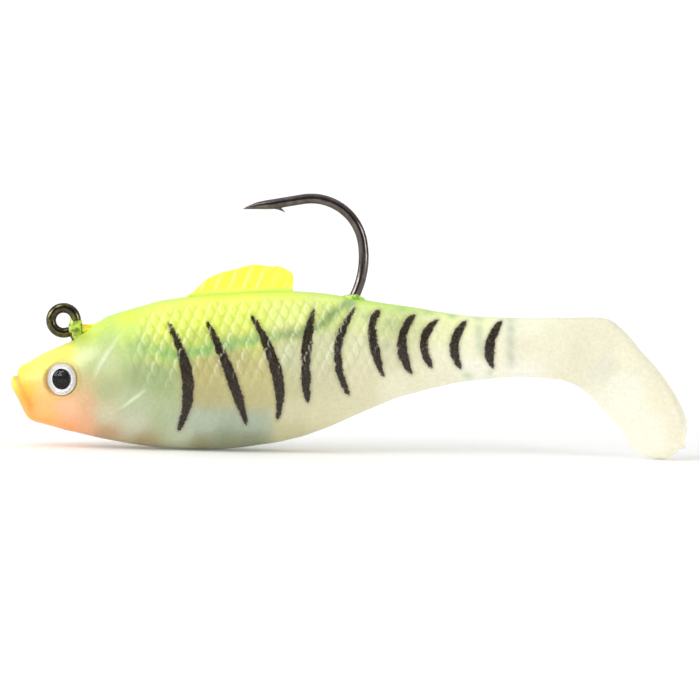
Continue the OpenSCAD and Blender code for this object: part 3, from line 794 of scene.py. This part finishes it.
def printed_foil(name, low, high, roughness, metallic, scale, painted_glow=0.0):
    """Bright metallised film, used for the iris and for the flash inside the body; a lip attribute darkens
    its outer edge as painted shade, and it can be given a faint glow as painted light.
    """
    n = Nodes(name)
    rest = n.attribute("rest")
    cells = n.add("TexVoronoi")
    cells.inputs["Scale"].default_value = scale
    n.link(rest, "Vector", cells, "Vector")
    base = n.mix((n.ramp((cells, "Distance"), 0.0, 0.6), "Result"), low, high)
    # painted shade: greyer tan on the iris's outer lip
    base = n.mix((n.attribute("lip"), "Fac"), (base, MIX_OUT), (0.42, 0.37, 0.28))
    n.link(base, MIX_OUT, n.bsdf, "Base Color")
    n.link(n.bump((cells, "Distance"), 0.25, 0.04 * MM), "Normal", n.bsdf, "Normal")
    n.set(Metallic=metallic, Roughness=roughness, Emission_Color=(1, 1, 1, 1), Emission_Strength=painted_glow)
    return n.material


def pupil_black():
    n = Nodes("pupil_black")
    rest = n.attribute("rest")
    blot = n.noise(rest, 3.0, 2.0, 0.5)
    base = n.mix((n.ramp((blot, "Fac"), 0.4, 0.7), "Result"), (0.003, 0.003, 0.003), (0.009, 0.008, 0.007))
    n.link(base, MIX_OUT, n.bsdf, "Base Color")
    n.link(n.ramp((blot, "Fac"), 0.4, 0.7, 0.5, 0.6), "Result", n.bsdf, "Roughness")
    n.set(Specular_IOR_Level=0.02)
    return n.material


def clear_dome():
    n = Nodes("clear_dome")
    rest = n.attribute("rest")
    n.link(n.ramp((n.noise(rest, 2.0, 2.0, 0.5), "Fac"), 0.3, 0.7, 0.01, 0.04), "Result", n.bsdf, "Roughness")
    n.set(Base_Color=(1, 1, 1, 1), Transmission_Weight=1.0, IOR=1.26)
    return n.material


def cast_lead():
    n = Nodes("cast_lead")
    rest = n.attribute("rest")
    blot = n.noise(rest, 1.2, 4.0, 0.6)
    base = n.mix((n.ramp((blot, "Fac"), 0.3, 0.7), "Result"), (0.20, 0.20, 0.21), (0.36, 0.36, 0.37))
    n.link(base, MIX_OUT, n.bsdf, "Base Color")
    n.link(n.ramp((blot, "Fac"), 0.3, 0.7, 0.45, 0.65), "Result", n.bsdf, "Roughness")
    n.link(n.bump((blot, "Fac"), 0.4, 0.15 * MM), "Normal", n.bsdf, "Normal")
    n.set(Metallic=0.9)
    return n.material


def wear(obj, material):
    obj.data.materials.clear()
    obj.data.materials.append(material)
    if "rest" not in obj.data.attributes:
        co = np.zeros(len(obj.data.vertices) * 3, np.float32)
        obj.data.vertices.foreach_get("co", co)
        point_attribute(obj, "rest", co / MM, "FLOAT_VECTOR")


# ------------------------------------------------------------------ soft body pieces

parts = skin_grid()
seam_rings = parts[-1]
last_ring = parts[0].shape[0] - 1
skin = soft_plastic()

front_skin = skin_piece("front_skin", parts, 0, seam_rings[0], False, True)
mid_skin = skin_piece("mid_skin", parts, seam_rings[0], seam_rings[1], True, True)
tail_skin = skin_piece("tail_skin", parts, seam_rings[1], last_ring, True, False)
for piece in (front_skin, mid_skin, tail_skin):
    wear(piece, skin)
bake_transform(front_skin, "front", "rear", start=(45.9 * MM, 0, 0), end=(55.1 * MM, 0, 0))
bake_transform(mid_skin, "rear", "stem", start=(56.4 * MM, 0, 0), end=(65.6 * MM, 0, 0))
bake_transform(tail_skin, "stem", "tail", start=(67.0 * MM, 0, 0), end=(77.0 * MM, 0, 0))
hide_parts("front_body")
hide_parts("mid_section")
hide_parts("tail_stem", "boot_tail")

# ------------------------------------------------------------------ dorsal fin

FIN_ROOT = np.array([18.2, 4.2])
FIN_SLOPE = math.radians(4.4)
FIN_TOP = [(0.0, -0.1), (0.35, 0.0), (1.1, 0.5), (1.75, 1.05), (2.5, 1.75), (3.3, 2.3), (5.2, 3.0),
           (7.5, 3.42),
           (9.0, 3.8), (10.0, 3.92), (10.9, 3.88), (12.2, 3.62), (12.95, 3.44), (13.6, 3.56), (14.4, 3.35),
           (15.0, 2.92), (15.7, 2.55), (16.0, 1.8), (15.85, 0.8), (15.75, 0.0)]
FIN_LENGTH = 15.75
FIN_SUNK = 1.1  # how far the membrane runs on below the back
RAY_PITCH = 2.08
RAY_LEAN = 0.48


def fin_mesh():
    """A thin membrane with leaning raised rays, a fillet at its root and a rounded free edge."""
    across, high = 200, 64
    top = np.array(FIN_TOP)
    arc = np.concatenate([[0], np.cumsum(np.hypot(*np.diff(top, axis=0).T))])
    s = np.linspace(0, arc[-1], across)
    tx, tz = np.interp(s, arc, top[:, 0]), np.interp(s, arc, top[:, 1])
    for _ in range(2):
        tx[1:-1] = (tx[:-2] + 2 * tx[1:-1] + tx[2:]) / 4
        tz[1:-1] = (tz[:-2] + 2 * tz[1:-1] + tz[2:]) / 4
    bx = np.linspace(0.0, FIN_LENGTH, across)
    h = np.linspace(0, 1, high)
    fx = bx[:, None] + (tx - bx)[:, None] * smoothstep(0, 1, h)[None, :]
    fz = (tz + FIN_SUNK)[:, None] * h[None, :] - FIN_SUNK
    full = np.maximum(tz, 0.05)[:, None]
    ray = (fx - RAY_LEAN * fz + 0.1) / RAY_PITCH
    off = np.abs(ray - np.round(ray)) * RAY_PITCH
    strength = bell(off, 0, 0.24) * smoothstep(0.1, 0.8, fz) * (1 - smoothstep(0.80, 1.0, fz / full))
    strength *= smoothstep(0.6, 1.6, fx) * (0.45 + 0.55 * (1 - smoothstep(11.0, 13.0, fx)))
    minor = np.abs(ray + 0.5 - np.round(ray + 0.5)) * RAY_PITCH
    small = bell(minor, 0, 0.22) * smoothstep(0.6, 1.4, fz) * 0.35
    half = 0.36 - 0.16 * np.clip(fz / 4.0, 0, 1) + 0.13 * strength + 0.05 * small
    half += 0.33 * bell(np.maximum(fz, 0), 0, 0.38)
    edge = np.minimum(1, np.minimum((1 - h)[None, :] / 0.06, np.minimum(s, arc[-1] - s)[:, None] / 0.45))
    half = np.maximum(half * np.sqrt(np.clip(1 - (1 - edge) ** 2, 0, 1)), 0.02)
    cos, sin = math.cos(FIN_SLOPE), math.sin(FIN_SLOPE)
    wx = FIN_ROOT[0] + fx * cos - fz * sin
    wz = FIN_ROOT[1] + fx * sin + fz * cos
    verts, ray_v, root_v = [], [], []
    for side in (-1, 1):
        verts.append(np.stack([wx, side * half, wz], -1).reshape(-1, 3))
        ray_v.append((strength + 0.3 * small).ravel())
        root_v.append(bell(np.maximum(fz, 0), 0, 0.45).ravel())
    verts = np.concatenate(verts)
    faces = []
    n = across * high
    for i in range(across - 1):
        for j in range(high - 1):
            a, b = i * high + j, (i + 1) * high + j
            faces += [[a, b, b + 1, a + 1], [n + a, n + a + 1, n + b + 1, n + b]]
    border = [(i, 0) for i in range(across)] + [(across - 1, j) for j in range(1, high)]
    border += [(i, high - 1) for i in range(across - 2, -1, -1)] + [(0, j) for j in range(high - 2, 0, -1)]
    loop = [i * high + j for i, j in border]
    for a, b in zip(loop, loop[1:] + loop[:1]):
        faces.append([b, a, n + a, n + b])
    obj = build_mesh("dorsal_fin_skin", verts, faces)
    point_attribute(obj, "ray", np.concatenate(ray_v))
    point_attribute(obj, "root", np.concatenate(root_v))
    return obj


fin = fin_mesh()
wear(fin, fin_plastic())
up = Vector((-math.sin(FIN_SLOPE), 0, math.cos(FIN_SLOPE)))
at_root = Vector((FIN_ROOT[0], 0, FIN_ROOT[1])) * MM
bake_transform(fin, "front", "fin", start=at_root - up * 0.1 * MM, end=at_root + up * 1.3 * MM)
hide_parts("dorsal_fin")

# ------------------------------------------------------------------ hook

WIRE_R = 0.75
EYE_RING_R = 1.85


def heading(degrees):
    return np.array([math.cos(math.radians(degrees)), math.sin(math.radians(degrees))])


class WirePath:
    """A bent wire in the side view: points, and the radius and bronze cast at each."""

    def __init__(self, at, direction):
        self.at, self.direction = np.array(at, float), direction
        self.points = [self.at.copy()]

    def straight(self, length, step=0.35):
        n = max(1, int(length / step))
        for i in range(1, n + 1):
            self.points.append(self.at + heading(self.direction) * length * i / n)
        self.at = self.points[-1].copy()
        return self

    def bend(self, radius, degrees, step=0.22):
        """Turns left for a positive angle."""
        sign = math.copysign(1, degrees)
        centre = self.at + sign * radius * heading(self.direction + 90)
        n = max(3, int(radius * math.radians(abs(degrees)) / step))
        for i in range(1, n + 1):
            angle = self.direction + degrees * i / n
            self.points.append(centre - sign * radius * heading(angle + 90))
        self.direction += degrees
        self.at = self.points[-1].copy()
        return self


def sweep(name, points, radii, sides=32, flat=None):
    """A closed tube round points [x, z] of the side view."""
    p = np.array(points, float)
    tangent = np.gradient(p, axis=0)
    tangent /= np.linalg.norm(tangent, axis=1, keepdims=True)
    side = np.stack([-tangent[:, 1], tangent[:, 0]], 1)
    angle = 2 * np.pi * np.arange(sides) / sides
    r = np.array(radii, float)[:, None]
    wide = r if flat is None else r * np.array(flat, float)[:, None]
    ring = np.stack([
        p[:, 0, None] + side[:, 0, None] * r * np.cos(angle),
        wide * np.sin(angle) + np.zeros_like(p[:, 0, None]),
        p[:, 1, None] + side[:, 1, None] * r * np.cos(angle),
    ], -1)
    verts = np.concatenate([ring.reshape(-1, 3), [ring[0].mean(0)], [ring[-1].mean(0)]])
    return build_mesh(name, verts, tube_faces(len(p), sides))


def hook_path():
    start = -18
    path = WirePath(EYE_RING_R * heading(start), start + 90)
    path.bend(EYE_RING_R, 290 - start, 0.12)
    ring_count = len(path.points)
    path.bend(0.9, -84, 0.1)
    path.straight(4.65).bend(1.5, 75.6, 0.12).straight(31.8)
    path.bend(9.0, 47.7).bend(13.1, 42).bend(7.7, 89.3)
    path.straight(4.4)
    body_count = len(path.points)
    path.straight(4.6, 0.12)
    return path, ring_count, body_count


path, ring_count, body_count = hook_path()
points = np.array(path.points)
from_tip = np.concatenate([np.cumsum(np.hypot(*np.diff(points[::-1], axis=0).T))[::-1], [0]])
radii = np.interp(from_tip, [0, 0.5, 1.1, 2.3, 3.4, 4.5], [0.02, 0.17, 0.31, 0.535, 0.67, WIRE_R])
raised = np.interp(from_tip, [0, 0.5, 1.1, 2.3, 3.4, 4.5], [0, 0.07, 0.12, 0.145, 0.08, 0])
lower = heading(path.direction + 90)  # the side of the point that faces the shank
points = points - np.outer(raised, lower)
flatness = 1 - 0.12 * smoothstep(8, 14, from_tip) * (1 - smoothstep(22, 30, from_tip))
hook_wire = sweep("hook_wire", points, radii, 36, flatness)


def barb_mesh():
    """A small chip cut up from the wire and bent back from the point."""
    tip = np.array(path.points[-1])
    back = heading(path.direction + 180)
    outline = [(4.2, 0.4), (4.6, 0.74), (5.05, 0.88), (5.6, 1.18), (6.12, 1.52), (6.15, 1.46), (5.9, 1.1),
               (5.72, 0.84), (5.65, 0.45)]
    thick = [0.30, 0.28, 0.24, 0.14, 0.04, 0.04, 0.14, 0.24, 0.30]
    verts = []
    for sign in (-1, 1):
        for (a, b), t in zip(outline, thick):
            p = tip + back * a + lower * b
            verts.append((p[0], sign * t, p[1]))
    n = len(outline)
    faces = [list(range(n)), list(range(2 * n - 1, n - 1, -1))]
    faces += [[i, (i + 1) % n, n + (i + 1) % n, n + i] for i in range(n)]
    obj = build_mesh("hook_barb", verts, faces, smooth=False)
    bevel = obj.modifiers.new("edge", "BEVEL")
    bevel.width, bevel.segments = 0.04 * MM, 2
    return obj


barb = barb_mesh()
nickel = black_nickel()
wear(hook_wire, nickel)
wear(barb, nickel)
for obj in (hook_wire, barb):
    co = np.array([v.co for v in obj.data.vertices]) / MM
    near_eye = 1 - smoothstep(2.6, 5.0, np.hypot(co[:, 0], co[:, 2]))
    point_attribute(obj, "bronze", near_eye)
    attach(obj, "front")
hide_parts("hook")

# ------------------------------------------------------------------ plastisol crept over the wire

MELT_VOXEL = 0.09
MELT_PASSES = 3


def blob(name, balls, voxel, smooth_passes, material):
    """Round lumps [x, y, z, radius, y squash] melted into one closed skin."""
    bm = bmesh.new()
    for x, y, z, r, squash in balls:
        made = bmesh.ops.create_icosphere(bm, subdivisions=3, radius=r * MM)
        for v in made["verts"]:
            v.co.y *= squash
            v.co += Vector((x, y, z)) * MM
    mesh = bpy.data.meshes.new(name)
    bm.to_mesh(mesh)
    bm.free()
    obj = bpy.data.objects.new(name, mesh)
    bpy.context.scene.collection.objects.link(obj)
    remesh = obj.modifiers.new("melt", "REMESH")
    remesh.mode, remesh.voxel_size, remesh.use_smooth_shade = "VOXEL", voxel * MM, True
    relax = obj.modifiers.new("relax", "SMOOTH")
    relax.factor, relax.iterations = 0.6, smooth_passes
    dg = bpy.context.evaluated_depsgraph_get()
    final = bpy.data.meshes.new_from_object(obj.evaluated_get(dg))
    obj.modifiers.clear()
    obj.data = final
    final.polygons.foreach_set("use_smooth", [True] * len(final.polygons))
    wear(obj, material)
    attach(obj, "front")
    return obj


def between(a, b, n):
    """n lumps spaced from lump a to lump b."""
    a, b = np.array(a, float), np.array(b, float)
    return [tuple(a + (b - a) * i / (n - 1)) for i in range(n)]


eye_film = film_plastic("eye_film_plastic", (0.13, 0.26, 0.02), (0.66, 0.80, 0.08))
exit_film = film_plastic("exit_film_plastic", (0.22, 0.50, 0.05), (0.66, 0.90, 0.14))
neck_balls = between((2.9, 0, -3.2, 1.15, 1.0), (2.0, 0, -1.9, 0.98, 1.0), 6)
neck_balls += between((2.0, 0, -1.9, 0.95, 1.0), (1.95, 0, -0.4, 0.86, 1.0), 5)
neck_balls += between((1.15, 0, 0.95, 0.22, 0.9), (1.5, 0, -0.2, 0.6, 1.0), 6)
neck_balls += between((1.5, 0, -0.2, 0.6, 1.1), (1.35, 0, -1.3, 0.75, 1.1), 5)
neck_balls += [(1.2, -0.5, -1.5, 0.4, 1), (2.4, -0.6, -2.6, 0.42, 1), (2.2, 0.6, -2.3, 0.4, 1)]
line_tie_film = blob("line_tie_film", neck_balls, MELT_VOXEL, MELT_PASSES, eye_film)
web_balls = between((2.4, 0, -0.9, 0.38, 0.9), (4.4, 0, -0.85, 0.38, 0.9), 9)
web_balls += between((4.4, 0, -0.85, 0.38, 0.9), (5.7, 0, -0.2, 0.36, 0.9), 7)
web_balls += between((2.4, 0, -1.6, 0.5, 0.9), (4.2, 0, -1.25, 0.46, 1.0), 8)
web_balls += between((4.2, 0, -1.25, 0.46, 1.0), (5.4, 0, -0.6, 0.46, 1.0), 6)
web_film = film_plastic("web_plastic", (0.86, 0.86, 0.02), (0.95, 0.98, 0.08), (0.95, 0.45, 0.06))
web = blob("line_tie_web", web_balls, MELT_VOXEL, MELT_PASSES, web_film)
web_at = np.array([v.co for v in web.data.vertices]) / MM
point_attribute(web, "fleck", bell(web_at[:, 0], 3.2, 0.45) * bell(web_at[:, 2], -0.6, 0.22))
exit_balls = between((41.4, 0, 3.7, 0.85, 1.0), (43.2, 0, 4.1, 0.95, 1.05), 5)
exit_balls += [(43.3, -0.55, 4.45, 0.5, 1), (43.6, 0.5, 4.4, 0.45, 1), (44.2, 0.0, 3.95, 0.5, 1.1),
               (42.6, -0.75, 4.1, 0.45, 1), (42.7, 0.75, 4.1, 0.45, 1)]
exit_collar = blob("hook_exit_collar", exit_balls, MELT_VOXEL, MELT_PASSES, exit_film)

# ------------------------------------------------------------------ eyes


def turned(name, profile, side, sides=96):
    """A round piece turned from [radius, height] points, standing on the eye's socket floor."""
    centre, outward = eye_frame(side)
    lengthwise = np.array([outward[1], -outward[0], 0.0])
    upright = np.array([0, 0, 1.0])
    angle = 2 * np.pi * np.arange(sides) / sides
    rings = []
    for r, h in profile:
        c = centre + outward * (h - EYE_SINK)
        rings.append(c + r * (np.cos(angle)[:, None] * lengthwise + np.sin(angle)[:, None] * upright))
    verts = np.concatenate([*rings, [rings[0].mean(0)], [rings[-1].mean(0)]])
    obj = build_mesh(name, verts, tube_faces(len(profile), sides))
    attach(obj, "front")
    return obj


def dome_profile(radius, height, base, steps=16):
    ball = (radius**2 + height**2) / (2 * height)
    reach = math.asin(radius / ball)
    flat = [(radius * 0.25 * i, base) for i in range(1, 5)]
    angles = [reach * (1 - i / steps) for i in range(1, steps)]
    cap = [(ball * math.sin(a), base + ball * math.cos(a) - (ball - height)) for a in angles]
    return flat + cap + [(0.02, base + height)]


# the iris glows faintly: painted light that makes up for what its clear dome holds back
iris_film = printed_foil("iris_film", (0.95, 0.96, 0.97), (1.0, 1.0, 1.0), 0.35, 0.0, 6.0, painted_glow=0.16)
pupil_ink = pupil_black()
resin = clear_dome()
# [radius, height] outlines: the iris has a raised lip, and the pupil a rounded edge
IRIS_OUTLINE = [(0.6, 0.0), (2.34, 0.0), (2.38, 0.05), (2.38, 0.42), (2.34, 0.47), (2.28, 0.42), (2.22, 0.28),
                (2.1, 0.22), (1.6, 0.2), (0.6, 0.2)]
PUPIL_OUTLINE = [(0.5, 0.21), (1.45, 0.21), (1.49, 0.25), (1.45, 0.31), (1.2, 0.33), (0.5, 0.34)]
for side, tag in ((-1, "left"), (1, "right")):
    iris = turned(f"eye_iris_{tag}", IRIS_OUTLINE, side)
    wear(iris, iris_film)
    centre, outward = eye_frame(side)
    from_axis = np.array([v.co for v in iris.data.vertices]) / MM - centre
    from_axis -= np.outer(from_axis @ outward, outward)
    # the outer lip of the iris is marked for its painted shade
    point_attribute(iris, "lip", smoothstep(2.2, 2.36, np.linalg.norm(from_axis, axis=1)))
    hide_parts(f"iris_{tag}")
    pupil = turned(f"eye_pupil_{tag}", PUPIL_OUTLINE, side)
    wear(pupil, pupil_ink)
    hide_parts(f"pupil_{tag}")
    dome = turned(f"eye_dome_clear_{tag}", dome_profile(2.2, 0.75, 0.36), side)
    wear(dome, resin)
    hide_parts(f"eye_dome_{tag}")

# ------------------------------------------------------------------ inner pieces keep their CAD shapes

wear(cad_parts["lead_jig_head"], cast_lead())
wear(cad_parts["foil_flash"],
     printed_foil("foil_flash_film", (0.70, 0.62, 0.30), (0.92, 0.88, 0.62), 0.25, 0.9, 1.2))

# ------------------------------------------------------------------ floor, lights and camera

low, high = (np.array(c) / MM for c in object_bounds())
FLOOR_Z = -18.78
SWEEP_GRID = 90
SWEEP_HALF_WIDTH = 700
SWEEP_HALF_DEPTH = 900
SWEEP_RISE_FROM = 420  # how far behind the lure the paper starts to curve up
SWEEP_CURVE = 500


def sweep_mesh():
    """A sheet of paper that lies flat under the lure and curves up far behind it."""
    xs = np.linspace(-1, 1, SWEEP_GRID)
    verts, faces = [], []
    for a in xs:
        for b in xs:
            depth = b * SWEEP_HALF_DEPTH
            rise = max(0.0, depth - SWEEP_RISE_FROM) ** 2 / SWEEP_CURVE
            verts.append(tuple(np.array((42 + a * SWEEP_HALF_WIDTH, depth, FLOOR_Z + rise)) * MM))
    for i in range(SWEEP_GRID - 1):
        for j in range(SWEEP_GRID - 1):
            k = i * SWEEP_GRID + j
            faces.append([k, k + SWEEP_GRID, k + SWEEP_GRID + 1, k + 1])
    mesh = bpy.data.meshes.new("studio_sweep")
    mesh.from_pydata(verts, [], faces)
    mesh.polygons.foreach_set("use_smooth", [True] * len(mesh.polygons))
    return mesh


def studio_paper():
    n = Nodes("studio_paper")
    grain = n.add("TexNoise")
    grain.inputs["Scale"].default_value = 900
    tone = n.mix((n.ramp((grain, "Fac"), 0.3, 0.7), "Result"), (0.93, 0.93, 0.93), (0.95, 0.95, 0.95))
    n.link(tone, MIX_OUT, n.bsdf, "Base Color")
    n.set(Roughness=0.9, Emission_Color=(1, 1, 1, 1), Emission_Strength=0.11)
    return n.material


studio = bpy.data.objects.new("studio_sweep", sweep_mesh())
bpy.context.scene.collection.objects.link(studio)
studio.data.materials.append(studio_paper())
studio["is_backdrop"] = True

world = bpy.data.worlds.new("studio_air")
bpy.context.scene.world = world
world.use_nodes = True
world.node_tree.nodes["Background"].inputs["Color"].default_value = (1, 1, 1, 1)
air = world.node_tree
# the white tent is open, and so darker, on the camera's side
where = air.nodes.new("ShaderNodeTexCoord")
split = air.nodes.new("ShaderNodeSeparateXYZ")
opening = air.nodes.new("ShaderNodeMapRange")
air.links.new(where.outputs["Generated"], split.inputs[0])
air.links.new(split.outputs["Y"], opening.inputs["Value"])
for key, value in (("From Min", -0.85), ("From Max", -0.55), ("To Min", 0.16), ("To Max", 0.53)):
    opening.inputs[key].default_value = value
air.links.new(opening.outputs["Result"], air.nodes["Background"].inputs["Strength"])


def softbox(name, at, size, power, target=(42, 0, -8)):
    light = bpy.data.lights.new(name, "AREA")
    light.shape, light.size, light.size_y, light.energy = "RECTANGLE", size[0] * MM, size[1] * MM, power
    obj = bpy.data.objects.new(name, light)
    obj.location = Vector(at) * MM
    obj.rotation_mode = "QUATERNION"
    obj.rotation_quaternion = (Vector(target) - Vector(at)).to_track_quat("-Z", "Y")
    bpy.context.scene.collection.objects.link(obj)


softbox("key_box", (-150, -150, 300), (180, 180), 0.32)
softbox("top_box", (70, 60, 330), (420, 300), 0.19)
softbox("left_box", (-330, -260, 170), (160, 200), 0.7)
softbox("window_box", (-405, -75, 115), (160, 160), 0.4)
softbox("right_box", (420, -250, 70), (180, 260), 0.68)
softbox("wall_box", (42, 200, 430), (900, 300), 1.9, (42, 1100, 0))

ROLL = math.radians(1.27)
SENSOR_WIDTH = 36.0
VIEW_WIDTH = 104.0  # what the camera takes in at the lure
LENS = VIEW_DISTANCE * SENSOR_WIDTH / VIEW_WIDTH
ELEVATION = math.radians(3.5)
LOOK_AT = Vector((42.62, 0, -3.47))
camera = bpy.data.objects.new("camera", bpy.data.cameras.new("camera"))
camera.data.lens = LENS
camera.data.sensor_width = SENSOR_WIDTH
camera.data.clip_start, camera.data.clip_end = 0.01, 10
view_right = Vector((math.cos(ROLL), 0, math.sin(ROLL)))
to_camera = Vector((0, -math.cos(ELEVATION), math.sin(ELEVATION)))
to_camera = (to_camera - view_right * to_camera.dot(view_right)).normalized()
view_up = to_camera.cross(view_right)
camera.rotation_mode = "QUATERNION"
axes = np.array([view_right, view_up, to_camera]).T
camera.rotation_quaternion = Matrix(axes.tolist()).to_quaternion()
camera.location = (LOOK_AT + to_camera * VIEW_DISTANCE) * MM
bpy.context.scene.collection.objects.link(camera)
bpy.context.scene.camera = camera
bpy.context.scene.view_settings.view_transform = "Standard"
bpy.context.scene.view_settings.exposure = 0.0
